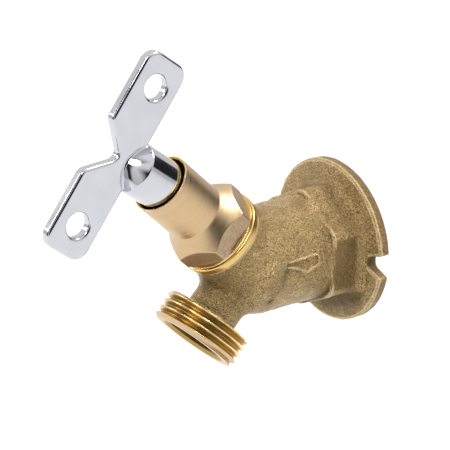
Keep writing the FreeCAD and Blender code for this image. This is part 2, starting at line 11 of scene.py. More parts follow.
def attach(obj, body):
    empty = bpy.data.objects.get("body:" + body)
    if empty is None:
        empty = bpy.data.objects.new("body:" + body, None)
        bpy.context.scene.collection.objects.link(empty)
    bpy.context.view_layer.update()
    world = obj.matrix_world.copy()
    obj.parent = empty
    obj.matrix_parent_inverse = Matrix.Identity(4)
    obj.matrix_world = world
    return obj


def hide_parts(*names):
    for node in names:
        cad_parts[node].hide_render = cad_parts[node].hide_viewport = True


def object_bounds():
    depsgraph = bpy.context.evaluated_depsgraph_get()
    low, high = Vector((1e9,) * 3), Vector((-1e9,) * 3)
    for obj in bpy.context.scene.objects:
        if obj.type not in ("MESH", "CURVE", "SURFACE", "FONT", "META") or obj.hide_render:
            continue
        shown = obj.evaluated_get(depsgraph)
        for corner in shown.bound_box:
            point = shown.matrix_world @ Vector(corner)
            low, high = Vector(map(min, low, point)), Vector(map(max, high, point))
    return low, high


# Looks of the loose-key hose bib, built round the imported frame.
#
# Lengths below are millimetres, in the CAD frame, and become metres when a piece is made.
# Four axes carry the object: the inlet axis out of the wall (world -Y), the bonnet axis
# (forward and up), the outlet axis (forward and down) and the axis of the loose key.

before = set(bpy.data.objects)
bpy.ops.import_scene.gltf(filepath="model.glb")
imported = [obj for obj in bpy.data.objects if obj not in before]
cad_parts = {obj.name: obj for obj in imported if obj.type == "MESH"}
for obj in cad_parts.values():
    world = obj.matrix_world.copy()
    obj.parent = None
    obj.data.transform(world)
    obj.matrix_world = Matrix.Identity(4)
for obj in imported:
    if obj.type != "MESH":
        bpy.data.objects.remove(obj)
CAD_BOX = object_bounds()

MM = 0.001
BONNET_RISE = math.radians(44.0)
OUTLET_DIP = math.radians(45.0)
KEY_DROOP = math.radians(6.6)
BONNET_START = 31.4
OUTLET_START = 32.2
SHIELD_RIM = 43.2
KEY_RIM_OFFSET = -0.25
CASTING_CLOCK = math.radians(-4.0)


# -------- axes

class Axis:
    """A line of the valve, with local Z along it and local X kept as world X."""

    def __init__(self, start, direction):
        self.start = np.array(start, float)
        self.z = np.array(direction, float)
        self.x = np.array([1.0, 0.0, 0.0])
        self.y = np.cross(self.z, self.x)

    def height_and_radius(self, points):
        away = points - self.start
        height = away @ self.z
        return height, np.linalg.norm(away - height[..., None] * self.z, axis=-1)

    def cylinder(self, points, bottom, top, outer, edge):
        """Distance to a cylinder on this axis between two heights, with rounded edges."""
        height, radius = self.height_and_radius(points)
        return disc(height, radius, bottom, top, outer, edge)

    def matrix(self):
        turn = Matrix([Vector(self.x), Vector(self.y), Vector(self.z)]).transposed().to_4x4()
        return Matrix.Translation(Vector(self.start * MM)) @ turn


def rising(angle):
    """The direction that points away from the wall and up by an angle."""
    return np.array([0.0, -math.cos(angle), math.sin(angle)])


WALL = Axis((0, 0, 0), rising(0))
BONNET = Axis((0, -BONNET_START, 0), rising(BONNET_RISE))
OUTLET = Axis((0, -OUTLET_START, 0), rising(-OUTLET_DIP))
KEY = Axis(BONNET.start + BONNET.z * SHIELD_RIM + BONNET.y * KEY_RIM_OFFSET,
           rising(BONNET_RISE - KEY_DROOP))


# -------- mesh tools

def placed(name, data):
    """A new object in the scene."""
    made = bpy.data.objects.new(name, data)
    bpy.context.scene.collection.objects.link(made)
    return made


def new_piece(name, vertices, faces, axis=None):
    """A smooth mesh object from millimetre vertices, standing on an axis if one is given."""
    mesh = bpy.data.meshes.new(name)
    mesh.from_pydata((np.asarray(vertices) * MM).tolist(), [], faces)
    mesh.polygons.foreach_set("use_smooth", [True] * len(mesh.polygons))
    piece = placed(name, mesh)
    if axis is not None:
        piece.matrix_world = axis.matrix()
    return piece


def joined(name, surfaces, axis=None):
    """One piece from surfaces that are each points and faces."""
    points, faces = [], []
    for surface_points, surface_faces in surfaces:
        base = sum(len(part) for part in points)
        faces += [[index + base for index in face] for face in surface_faces]
        points.append(surface_points)
    return new_piece(name, np.concatenate(points), faces, axis)


def weld(piece, distance=0.002):
    """Join coinciding points, drop the faces that collapse and turn all faces outward."""
    work = bmesh.new()
    work.from_mesh(piece.data)
    bmesh.ops.remove_doubles(work, verts=work.verts, dist=distance * MM)
    bmesh.ops.dissolve_degenerate(work, dist=distance * MM, edges=work.edges)
    bmesh.ops.recalc_face_normals(work, faces=work.faces)
    work.to_mesh(piece.data)
    work.free()


def unit(vectors, least=1e-9):
    """Vectors brought to length 1, or nearer to it where they are shorter than `least`."""
    return vectors / np.maximum(np.linalg.norm(vectors, axis=-1, keepdims=True), least)


def even_angles(count):
    return np.arange(count) * 2 * math.pi / count


def around(radius, angle, height):
    """Points at radii, angles and heights round the local Z axis."""
    places = np.broadcast_arrays(radius * np.cos(angle), radius * np.sin(angle), height)
    return np.stack(places, axis=-1)


def grid_quads(rows, columns, closed_rows=True, closed_columns=True):
    """Quads of a grid of points that may close on itself either way."""
    row, column = np.meshgrid(np.arange(rows - 1 + closed_rows),
                              np.arange(columns - 1 + closed_columns), indexing="ij")
    next_row = (row + 1) % rows
    next_column = (column + 1) % columns
    corners = [row * columns + column, row * columns + next_column,
               next_row * columns + next_column, next_row * columns + column]
    return np.stack(corners, axis=-1).reshape(-1, 4).tolist()


# -------- turned pieces

TURN_STEPS = 240
TURN_SHARES = np.arange(TURN_STEPS) / TURN_STEPS
LONGEST_ROUNDING = 0.45
CORNER_COLUMNS = (-1.4, -1.0, -0.6, -0.2, 0.2, 0.6, 1.0, 1.4)


class Polygon:
    """A regular polygon outline with rounded corners, as a radius at each angle."""

    def __init__(self, across_flats, sides, corner_round):
        self.half = across_flats / 2
        self.sector = 2 * math.pi / sides
        self.sides = sides
        lean = self.sector / 2
        self.corner_round = corner_round
        self.arc_centre = (self.half - corner_round) / math.cos(lean)
        self.arc_reach = math.atan2(corner_round * math.sin(lean),
                                    self.arc_centre + corner_round * math.cos(lean))

    def angles(self):
        """Angles for a turned piece, with extra ones across each rounded corner."""
        even = even_angles(TURN_STEPS)
        corners = (np.arange(self.sides) + 0.5) * self.sector
        beside = np.array(CORNER_COLUMNS) * self.arc_reach
        nearest = np.abs((even[:, None] - corners + math.pi) % (2 * math.pi) - math.pi).min(axis=1)
        even = even[nearest > beside.max()]
        extra = (corners[:, None] + beside).ravel() % (2 * math.pi)
        return np.sort(np.concatenate([even, extra]))

    def radius(self, angles):
        from_flat = (angles + self.sector / 2) % self.sector - self.sector / 2
        straight = self.half / np.cos(from_flat)
        from_corner = self.sector / 2 - np.abs(from_flat)
        reach = np.maximum(self.corner_round ** 2 - (self.arc_centre * np.sin(from_corner)) ** 2, 0)
        arc = self.arc_centre * np.cos(from_corner) + np.sqrt(reach)
        return np.where(from_corner < self.arc_reach, arc, straight)


def rounded_profile(corners, size, steps=4):
    """Round each corner of closed profiles shaped (corner, angle, 2), keeping the axis ends."""
    corners = np.asarray(corners, float)
    rows = []
    count = len(corners)
    for index in range(count):
        here = corners[index]
        sides = [corners[index - 1] - here, corners[(index + 1) % count] - here]
        if np.all(here[:, 0] < 1e-6):
            rows.append(here)
            continue
        shorter = np.minimum(*[np.linalg.norm(side, axis=1, keepdims=True) for side in sides])
        reach = np.minimum(size, LONGEST_ROUNDING * shorter)
        start, end = [here + unit(side) * reach for side in sides]
        for step in np.linspace(0, 1, steps):
            rows.append((1 - step) ** 2 * start + 2 * step * (1 - step) * here + step ** 2 * end)
    return np.array(rows)


def turned(name, corners, axis, angles=None, rounding=0.12):
    """A piece turned from a closed profile of (radius, height) corners.

    A corner's radius and height may each be one number or one number per angle."""
    if angles is None:
        angles = even_angles(TURN_STEPS)
    profile = np.array([
        np.stack(np.broadcast_arrays(radius, height, angles)[:2], axis=-1)
        for radius, height in corners
    ], float)
    rows = rounded_profile(profile, rounding)
    grid = around(rows[..., 0], angles, rows[..., 1])
    piece = new_piece(name, grid.reshape(-1, 3), grid_quads(len(rows), len(angles)), axis)
    weld(piece)
    # Flat faces are shaded flat, and only the small roundings between them blend.
    piece.modifiers.new("weighted_normals", "WEIGHTED_NORMAL").keep_sharp = True
    return piece


# -------- threads

THREAD_ROWS = 20
THREAD_FLAT = 0.125
THREAD_EDGE = 0.035
THREAD_SHARP_ANGLE = math.radians(38)


class Thread(NamedTuple):
    """A right-hand 60 degree thread: its radius at any height and share of a turn."""

    pitch: float
    crest: float
    root: float
    crest_at_zero: float

    def radius(self, height, share):
        """The sharp profile, averaged over a short stretch so that its edges are rounded."""
        turns = (height - self.crest_at_zero) / self.pitch - share
        total = 0
        offsets = np.linspace(-THREAD_EDGE, THREAD_EDGE, 5)
        for offset in offsets:
            from_crest = 0.5 - np.abs((turns + offset) % 1 - 0.5)
            fall = (from_crest - THREAD_FLAT / 2) / (0.5 - THREAD_FLAT)
            total = total + self.crest + (self.root - self.crest) * np.clip(fall, 0, 1)
        return total / len(offsets)


def thread_surface(radius_at, pitch, bottom, top):
    """Points and quads that follow a helix, so that the crests stay sharp all the way round."""
    columns = TURN_STEPS + 1
    rows = int(math.ceil((top - bottom) / pitch + 1)) * THREAD_ROWS + 1
    share = np.arange(columns) / TURN_STEPS
    along = bottom - pitch + np.arange(rows)[:, None] * pitch / THREAD_ROWS
    height = np.clip(along + pitch * share, bottom, top)
    radius = radius_at(height, np.broadcast_to(share, height.shape))
    grid = around(radius, share * 2 * math.pi, height)
    return grid.reshape(-1, 3), grid_quads(rows, columns, False, False)


def lathe_surface(corners):
    """Points and quads of a turned surface through (radius, height) corners."""
    angle = even_angles(TURN_STEPS)
    grid = np.array([around(radius, angle, height) for radius, height in corners])
    return grid.reshape(-1, 3), grid_quads(len(corners), TURN_STEPS, False)


def threaded_piece(name, surfaces, axis):
    """One closed piece from surfaces that share their border circles."""
    piece = joined(name, surfaces, axis)
    weld(piece)
    piece.data.set_sharp_from_angle(angle=THREAD_SHARP_ANGLE)
    return piece


# -------- implicit shapes

def round_union(a, b, radius):
    """Join two distance fields with a fillet."""
    first = np.maximum(radius - a, 0)
    second = np.maximum(radius - b, 0)
    return np.maximum(radius, np.minimum(a, b)) - np.hypot(first, second)


def round_cut(a, b, radius):
    """The part of a that lies outside b, with the new edge rounded."""
    return round_common(a, -b, radius)


def round_common(a, b, radius):
    """The part shared by two distance fields, with the edge between them rounded."""
    first = np.maximum(radius + a, 0)
    second = np.maximum(radius + b, 0)
    return np.minimum(-radius, np.maximum(a, b)) + np.hypot(first, second)


def disc(height, radius, bottom, top, outer, edge):
    """Distance to a cylinder, or to a bar seen from its side, with rounded edges."""
    middle, half = (bottom + top) / 2, (top - bottom) / 2
    beyond = np.abs(height - middle) - half + edge
    outside = radius - outer + edge
    corner = np.hypot(np.maximum(beyond, 0), np.maximum(outside, 0))
    return corner + np.minimum(np.maximum(beyond, outside), 0) - edge


def gradient(field, points, step=0.02):
    """Unit directions in which a distance field grows fastest."""
    parts = []
    for axis in range(3):
        offset = np.zeros(3)
        offset[axis] = step
        parts.append(field(points + offset) - field(points - offset))
    return unit(np.stack(parts, axis=-1))


def onto_surface(field, points, rounds=4):
    """Points moved along the field's gradient until they lie on its surface."""
    for _ in range(rounds):
        points = points - gradient(field, points) * field(points)[:, None]
    return points


CUBE_CORNERS = list(itertools.product((0, 1), repeat=3))
CUBE_EDGES = [
    (first, second)
    for first in CUBE_CORNERS
    for second in CUBE_CORNERS
    if sum(second) - sum(first) == 1 and all(b >= a for a, b in zip(first, second))
]


def surface_nets(field, low, high, step):
    """Quads round the inside of a distance field: one point in every cell that it crosses."""
    ticks = [np.arange(a, b + step, step) for a, b in zip(low, high)]
    grid = np.stack(np.meshgrid(*ticks, indexing="ij"), axis=-1)
    values = np.stack([field(layer) for layer in grid])
    inside = values < 0
    shape = np.array(values.shape) - 1
    count = np.zeros(shape, int)
    for corner in CUBE_CORNERS:
        count += inside[tuple(slice(o, o + n) for o, n in zip(corner, shape))]
    active = (count > 0) & (count < len(CUBE_CORNERS))
    cells = np.argwhere(active)
    number = np.full(shape, -1)
    number[active] = np.arange(len(cells))
    total = np.zeros((len(cells), 3))
    crossings = np.zeros(len(cells))
    for first, second in CUBE_EDGES:
        a = values[tuple((cells + first).T)]
        b = values[tuple((cells + second).T)]
        crossed = (a < 0) != (b < 0)
        share = np.where(crossed, a / np.where(crossed, a - b, 1), 0)
        place = np.array(first) + share[:, None] * (np.array(second) - np.array(first))
        total += crossed[:, None] * place
        crossings += crossed
    points = (cells + total / crossings[:, None]) * step + np.array(low)
    quads = []
    for axis in range(3):
        u, v = (axis + 1) % 3, (axis + 2) % 3
        lower = np.moveaxis(inside, axis, 0)[:-1]
        upper = np.moveaxis(inside, axis, 0)[1:]
        edges = np.argwhere(np.moveaxis(lower != upper, 0, axis))
        leaving = inside[tuple(edges.T)]
        ring = []
        for back_u, back_v in ((1, 1), (0, 1), (0, 0), (1, 0)):
            cell = edges.copy()
            cell[:, u] -= back_u
            cell[:, v] -= back_v
            ring.append(number[tuple(cell.T)])
        ring = np.stack(ring, axis=1)
        ring[~leaving] = ring[~leaving][:, ::-1]
        quads.append(ring)
    return points, np.concatenate(quads)


def relaxed(points, quads, field, rounds=2):
    """Even out the quads by moving each point towards its neighbours, on the surface."""
    pairs = np.concatenate([quads[:, [0, 1]], quads[:, [1, 2]], quads[:, [2, 3]], quads[:, [3, 0]]])
    ends = np.concatenate([pairs, pairs[:, ::-1]])
    degree = np.bincount(ends[:, 0], minlength=len(points))[:, None]
    for _ in range(rounds):
        total = np.zeros_like(points)
        for axis in range(3):
            total[:, axis] = np.bincount(ends[:, 0], points[ends[:, 1], axis], len(points))
        points = onto_surface(field, (points + total / degree) / 2, 1)
    return points


def meshed(field, low, high, step):
    """Evened points and quads of a distance field's surface, between two corners of a box."""
    points, quads = surface_nets(field, low, high, step)
    return relaxed(onto_surface(field, points), quads, field), quads.tolist()


def lattice_noise(points, cell, seed):
    """Smooth random values between -1 and 1, one lattice value per cell."""
    generator = np.random.default_rng(seed)
    table = generator.uniform(-1, 1, 8192)
    turn = np.linalg.qr(generator.normal(size=(3, 3)))[0]
    places = points @ turn / cell
    corner = np.floor(places)
    share = places - corner
    share = share * share * (3 - 2 * share)
    primes = np.array([73856093, 19349663, 83492791])
    total = np.zeros(len(points))
    for offset in CUBE_CORNERS:
        index = ((corner + offset).astype(np.int64) @ primes) % len(table)
        weight = np.prod(np.where(offset, share, 1 - share), axis=1)
        total += weight * table[index]
    return total


# -------- casting

FLANGE_RADIUS = 24.0
FLANGE_THICKNESS = 3.5
FLANGE_EDGE = 0.7
BOSS_ACROSS_FLATS = 32.0
BOSS_CORNER_RADIUS = 17.8
BOSS_FRONT = 14.2
BOSS_FLAT_HALF = 7.8
BARREL_RADIUS = 15.2
BARREL_BACK = 0.5
NECK_RADIUS = 12.4
NECK_TOP = 14.7
SPOUT_RADIUS = 7.7
SPOUT_END = 19.6
COLLAR_BACK = 19.3
COLLAR_BACK_RADIUS = 12.9
COLLAR_BACK_END = 20.0
SLOT_ROOT = 20.4
SLOT_HALF = 2.4
SLOT_MOUTH_HALF = 3.7
SLOT_DEPTH = 6.0
INLET_SLEEVE_RADIUS = 11.0
INLET_SLEEVE_END = 16.2
INLET_BORE_RADIUS = 7.0
INLET_BORE_END = 28.5
SEAT_BORE_RADIUS = 4.8
SEAT_BORE_START = -5.0
SEAT_BOSS_RADIUS = 6.6
SEAT_FACE = 4.5
CHAMBER_RADIUS = 9.9
CHAMBER_FLOOR = 3.0
OUTLET_BORE_RADIUS = 5.7
OUTLET_BORE_START = 6.8
BEYOND = 40.0
BOSS_EDGE = 0.6
BOSS_FRONT_EDGE = 0.7
FLANGE_FILLET = 3.0
BARREL_FILLET = 1.4
NECK_FILLET = 2.0
COLLAR_FILLET = 1.4
SPOUT_FILLET = 1.7
SLOT_EDGE = 0.5
BORE_EDGE = 0.25
CASTING_STEP = 0.45
CASTING_LOW = (-25.0, -57.0, -25.0)
CASTING_HIGH = (25.0, 1.0, 25.0)

# Lines of relief on the +X side of the barrel, each from point to point.
SEAM = [(12.5, -34.7, -8.7), (14.3, -31.6, -2.6), (15.1, -29.7, 2.1)]
SEAM_TAIL = [(15.1, -29.7, 2.1), (14.3, -30.6, 5.1), (12.8, -32.2, 8.3), (10.9, -32.9, 10.6)]
ARROW_BACK = [(14.98, -29.64, 3.58), (14.93, -18.91, 3.76)]
ARROW_TIP = [(15.24, -29.83, 2.21), (15.32, -27.05, 1.58), (15.39, -22.79, -0.62),
             (15.36, -18.49, 1.08), (14.93, -18.91, 3.76)]
PIT = (15.12, -21.11, -2.92)
PIT_DEPTH = 0.30
PIT_WIDTH = 0.6

# Uneven skin as (height, size of the unevenness, random seed), and the mould seam's ridges.
WAVES = ((0.15, 5.0, 1), (0.09, 2.2, 2), (0.05, 0.9, 3))
SEAM_HEIGHT = 0.50
SEAM_WIDTH = 0.75
SEAM_LEAST = 0.6
SEAM_ROUGHNESS = 1.1
SEAM_NOISE = (1.0, 4)
SEAM_TAIL_HEIGHT = 0.16
SEAM_TAIL_WIDTH = 0.7


def clocked(points):
    """Coordinates across the wall face, turned with the flange slots and the boss."""
    x, z = points[..., 0], points[..., 2]
    cos, sin = math.cos(CASTING_CLOCK), math.sin(CASTING_CLOCK)
    return x * cos + z * sin, z * cos - x * sin


def wall_flange(points):
    return WALL.cylinder(points, 0, FLANGE_THICKNESS, FLANGE_RADIUS, FLANGE_EDGE)


def wrench_boss(points):
    """The hexagonal boss behind the flange, its corners turned off by a cylinder."""
    height, radius = WALL.height_and_radius(points)
    u, w = clocked(points)
    slant = math.sqrt(3) / 2
    across = np.maximum(np.abs(u), np.abs(u) / 2 + np.abs(w) * slant) - BOSS_ACROSS_FLATS / 2
    side = round_common(across, radius - BOSS_CORNER_RADIUS, BOSS_EDGE)
    ends = np.maximum(height - BOSS_FRONT, BARREL_BACK - height)
    return round_common(side, ends, BOSS_FRONT_EDGE)


def barrel(points):
    """A cylinder out of the wall that ends in a ball where the branches meet."""
    depth = np.clip(-points[..., 1], 0, BONNET_START)
    nearest = np.stack([np.zeros_like(depth), -depth, np.zeros_like(depth)], axis=-1)
    ball = np.linalg.norm(points - nearest, axis=-1) - BARREL_RADIUS
    return np.maximum(ball, points[..., 1] + BARREL_BACK)


def screw_slots(points):
    u, w = clocked(points)
    out = np.abs(u) - SLOT_ROOT
    flare = (SLOT_MOUTH_HALF - SLOT_HALF) / (FLANGE_RADIUS - SLOT_ROOT)
    mouth = np.abs(w) - SLOT_HALF - out * flare
    root = np.hypot(out, w) - SLOT_HALF
    return np.maximum(np.where(out > 0, mouth, root), -points[..., 1] - SLOT_DEPTH)


def waterways(points):
    """Distance to the hollows: inlet, valve chamber, the bore of its seat, and outlet."""
    sleeve = WALL.cylinder(points, -BEYOND, INLET_SLEEVE_END, INLET_SLEEVE_RADIUS, edge=0.1)
    inlet = WALL.cylinder(points, -BEYOND, INLET_BORE_END, INLET_BORE_RADIUS, edge=0.4)
    chamber = BONNET.cylinder(points, CHAMBER_FLOOR, BEYOND, CHAMBER_RADIUS, edge=0.3)
    seat_boss = BONNET.cylinder(points, 0, SEAT_FACE, SEAT_BOSS_RADIUS, edge=0.2)
    seat = BONNET.cylinder(points, SEAT_BORE_START, BEYOND, SEAT_BORE_RADIUS, edge=0.2)
    spout = OUTLET.cylinder(points, OUTLET_BORE_START, BEYOND, OUTLET_BORE_RADIUS, edge=0.2)
    chamber = np.maximum(chamber, -seat_boss)
    return np.minimum.reduce([sleeve, inlet, chamber, seat, spout])


def outer_form(points):
    """Distance to the casting with no holes in it: its forms joined with fillets."""
    neck = BONNET.cylinder(points, 0, NECK_TOP, NECK_RADIUS, edge=0.3)
    spout = OUTLET.cylinder(points, 0, SPOUT_END, SPOUT_RADIUS, edge=0.1)
    collar = OUTLET.cylinder(points, COLLAR_BACK, COLLAR_BACK_END, COLLAR_BACK_RADIUS, edge=0.3)
    body = round_union(wall_flange(points), wrench_boss(points), FLANGE_FILLET)
    body = round_union(body, barrel(points), BARREL_FILLET)
    body = round_union(body, neck, NECK_FILLET)
    body = round_union(body, round_union(spout, collar, COLLAR_FILLET), SPOUT_FILLET)
    return round_cut(body, screw_slots(points), SLOT_EDGE)


def casting_field(points):
    """Distance to the bare casting, with its waterways cut out."""
    return round_cut(outer_form(points), waterways(points), BORE_EDGE)


def distance_to_line(points, line):
    """Distance from each point to a line of straight stretches."""
    best = np.full(len(points), np.inf)
    for start, end in zip(np.array(line), np.array(line)[1:]):
        run = end - start
        share = np.clip((points - start) @ run / (run @ run), 0, 1)
        best = np.minimum(best, np.linalg.norm(points - start - share[:, None] * run, axis=1))
    return best


def on_seen_side(points):
    """The points with those of the -X side mirrored to the +X side."""
    return np.stack([np.abs(points[:, 0]), points[:, 1], points[:, 2]], axis=-1)


def ridge(points, line, height, width):
    return height * np.exp(-(distance_to_line(points, line) / width) ** 2)


def cast_relief(points):
    """How far the rough casting stands out of its plain form at each point."""
    mirrored = on_seen_side(points)
    skin = sum(height * lattice_noise(points, cell, seed) for height, cell, seed in WAVES)
    broken = SEAM_LEAST + SEAM_ROUGHNESS * lattice_noise(points, *SEAM_NOISE)
    seam = ridge(mirrored, SEAM, SEAM_HEIGHT, SEAM_WIDTH) * broken
    tail = ridge(mirrored, SEAM_TAIL, SEAM_TAIL_HEIGHT, SEAM_TAIL_WIDTH)
    from_pit = np.linalg.norm(points - np.array(PIT), axis=1)
    pit = PIT_DEPTH * np.exp(-(from_pit / PIT_WIDTH) ** 2)
    return skin + seam + tail - pit


# Reaches, leans and margins of the painted shade in corners, under overhangs, on the boss flats and
# on the flange rim, and of the edge wear with its painted highlight. SOILED_WIDTH is the width of
# the dirt along the seam.
SHELTER_REACHES = (1.0, 2.5, 5.0, 10.0)
OVERHANG_LEAN = 0.9
WEAR_AND_HIGHLIGHT_DEPTH = 1.1
WEAR_AND_HIGHLIGHT_START = 1.2
SOILED_WIDTH = 0.9
SIDE_SHADE_FADE = 0.3
FLAT_START = 5.5
FLAT_FADE = 1.5
FLAT_MARGIN = 0.5
RIM_MARGIN = 0.35
STEEPEST_ASIDE = 0.4
BORE_MARGIN = 0.4
BACK_MARGIN = 0.3


def set_attribute(piece, name, values):
    layer = piece.data.attributes.new(name, "FLOAT", "POINT")
    layer.data.foreach_set("value", np.asarray(values, np.float32))


def shelter(field, points, directions):
    """0 in the open and up to 1 in a corner: how soon the way along a direction is blocked."""
    total = 0
    for reach in SHELTER_REACHES:
        free = field(points + directions * reach) / reach
        total = total + np.clip(1 - free, 0, 1)
    return total / len(SHELTER_REACHES)


def painted_shade_on_sides(points, normals):
    """Painted shade on the side flats of the boss and on the rim of the flange, the faces that turn
    aside from the wall axis.
    """
    height, radius = WALL.height_and_radius(points)
    u, w = clocked(points)
    faces_aside = np.abs(normals @ WALL.z) < STEEPEST_ASIDE
    past_fillet = np.clip((height - FLAT_START) / FLAT_FADE, 0, 1)
    on_boss = past_fillet * (height < BOSS_FRONT - SIDE_SHADE_FADE)
    flats = on_boss * np.clip((BOSS_FLAT_HALF - np.abs(w)) / SIDE_SHADE_FADE, 0, 1)
    flats = flats * (np.abs(u) > BOSS_ACROSS_FLATS / 2 - FLAT_MARGIN)
    rim = np.clip((radius - FLANGE_RADIUS + RIM_MARGIN) / SIDE_SHADE_FADE, 0, 1)
    return np.maximum(flats, rim) * faces_aside


def casting():
    """The sand casting, with its uneven skin, and the masks that its material reads: painted shade
    in corners, under overhangs, on the boss flats and on the flange rim, edge wear with a painted
    highlight, and dirt along the seam.
    """
    points, quads = meshed(casting_field, CASTING_LOW, CASTING_HIGH, CASTING_STEP)
    normals = gradient(casting_field, points)
    inside = waterways(points) < BORE_MARGIN
    flat_back = points[:, 1] > -BACK_MARGIN
    bare = ~(inside | flat_back)
    # Painted shade under overhangs: how soon the way up and off the surface is blocked.
    upward = unit(normals + np.array([0, 0, OVERHANG_LEAN]), 0.1)
    # Edge wear with a painted highlight: how sharply the outer form turns at each point, faded out
    # near the wall face.
    wear_and_highlight = np.clip(1 + outer_form(points - normals * WEAR_AND_HIGHLIGHT_DEPTH) / WEAR_AND_HIGHLIGHT_DEPTH, 0, 1)
    wear_and_highlight = wear_and_highlight * np.clip((-points[:, 1] - WEAR_AND_HIGHLIGHT_START) / WEAR_AND_HIGHLIGHT_START, 0, 1)
    known = {
        # shelter: the mask of painted shade, with some patina, in corners and recesses
        "shelter": shelter(casting_field, points, normals),
        "soiled": ridge(on_seen_side(points), SEAM, 1.0, SOILED_WIDTH),
        "overhang_shade": shelter(casting_field, points, upward),
        "wear_and_highlight": wear_and_highlight * bare,
        # skin: the mask of painted shade on the boss flats and the flange rim
        "skin": painted_shade_on_sides(points, normals),
    }
    points = points + normals * (cast_relief(points) * bare)[:, None]
    piece = new_piece("valve_casting", points, quads)
    for name, values in known.items():
        set_attribute(piece, name, values)
    return piece


ARROW_RIB = 0.40
ARROW_WEAR_AND_HIGHLIGHT = 0.25
ARROW_WELD = 0.001
RIB_SIDES = 10
RIB_STEP = 0.5
RIB_LIFT = 0.05


def rib(line, radius):
    """A thin raised rib along a line on the barrel, sunk to its middle in the surface."""
    line = np.array(line)
    lengths = np.linalg.norm(np.diff(line, axis=0), axis=1)
    counts = np.maximum(lengths / RIB_STEP, 1).astype(int)
    path = [line[0]]
    for start, end, count in zip(line, line[1:], counts):
        path += [start + (end - start) * (step + 1) / count for step in range(count)]
    path = np.array(path)
    out = unit(path * [1, 0, 1])
    path = out * (BARREL_RADIUS + RIB_LIFT) + path * [0, 1, 0]
    side = np.cross(unit(np.gradient(path, axis=0)), out)
    size = np.full(len(path), radius)
    size[[0, -1]] = radius / 4
    angle = even_angles(RIB_SIDES)
    circle = np.cos(angle)[:, None] * side[:, None] + np.sin(angle)[:, None] * out[:, None]
    rings = path[:, None] + size[:, None, None] * circle
    sides = grid_quads(len(path), RIB_SIDES, False)
    first_end = list(range(RIB_SIDES))[::-1]
    last_end = [(len(path) - 1) * RIB_SIDES + side for side in range(RIB_SIDES)]
    return rings.reshape(-1, 3), [*sides, first_end, last_end]


def flow_arrow():
    """The cast arrow on the barrel's side, as an outline of two raised ribs."""
    piece = joined("flow_arrow", [rib(ARROW_BACK, ARROW_RIB), rib(ARROW_TIP, ARROW_RIB)])
    weld(piece, ARROW_WELD)
    for name in ("shelter", "soiled", "overhang_shade", "skin"):
        set_attribute(piece, name, np.zeros(len(piece.data.vertices)))
    # The ribs get a little of the edge wear with its painted highlight all along.
    set_attribute(piece, "wear_and_highlight", np.full(len(piece.data.vertices), ARROW_WEAR_AND_HIGHLIGHT))
    return piece


# -------- hose thread and inlet thread

COLLAR_END = 27.6
COLLAR_END_RADIUS = 12.4
COLLAR_THREAD_BACK = 19.6
MOUTH_RADIUS = 9.0
MOUTH_DEPTH = 4.5
MOUTH_CHAMFER = 0.9
COLLAR_CHAMFER_SLOPE = 0.95
HOSE_PITCH = 2.209
# The turn at which the first crest stands 19.8 mm out, where the photograph shows it.
HOSE_THREAD_SIGHT = 40.6 / 360
HOSE_THREAD = Thread(HOSE_PITCH, crest=13.45, root=12.05,
                     crest_at_zero=19.8 - HOSE_PITCH * HOSE_THREAD_SIGHT)
INLET_THREAD = Thread(pitch=1.814, crest=9.15, root=10.35, crest_at_zero=0.5)
INLET_START = 0.3
INLET_MOUTH = 11.0
SLEEVE_FLOOR = 0.2


def hose_radius(height, share):
    """The hose thread inside the chamfer at its open end."""
    front = COLLAR_END_RADIUS + (COLLAR_END - height) * COLLAR_CHAMFER_SLOPE
    return np.minimum(HOSE_THREAD.radius(height, share), front)


def hose_thread():
    """The threaded collar of the outlet, with the mouth that the hose washer sits in."""
    outside = thread_surface(hose_radius, HOSE_THREAD.pitch, COLLAR_THREAD_BACK, COLLAR_END)
    mouth_floor = COLLAR_END - MOUTH_DEPTH
    inner = lathe_surface([
        (hose_radius(COLLAR_THREAD_BACK, TURN_SHARES), COLLAR_THREAD_BACK),
        (OUTLET_BORE_RADIUS, COLLAR_THREAD_BACK),
        (OUTLET_BORE_RADIUS, mouth_floor),
        (MOUTH_RADIUS, mouth_floor),
        (MOUTH_RADIUS, COLLAR_END - MOUTH_CHAMFER),
        (MOUTH_RADIUS + MOUTH_CHAMFER, COLLAR_END),
        (hose_radius(COLLAR_END, TURN_SHARES), COLLAR_END),
    ])
    return threaded_piece("hose_thread", [outside, inner], OUTLET)


def inlet_thread():
    """A sleeve tapped for the water pipe, set in the casting behind the wall face."""
    start, end = INLET_START, INLET_SLEEVE_END
    bore = thread_surface(inlet_radius, INLET_THREAD.pitch, start, end)
    outer = INLET_SLEEVE_RADIUS + INLET_START
    shell = lathe_surface([
        (inlet_radius(start, TURN_SHARES), start),
        (outer, start),
        (outer, end + SLEEVE_FLOOR),
        (INLET_BORE_RADIUS, end + SLEEVE_FLOOR),
        (INLET_BORE_RADIUS, end),
        (inlet_radius(end, TURN_SHARES), end),
    ])
    return threaded_piece("inlet_thread", [bore, shell], WALL)


def inlet_radius(height, share):
    """The tapped inlet, opened out by a chamfer at the wall face."""
    return np.maximum(INLET_THREAD.radius(height, share), INLET_MOUTH - height)


# -------- face ring and bonnet

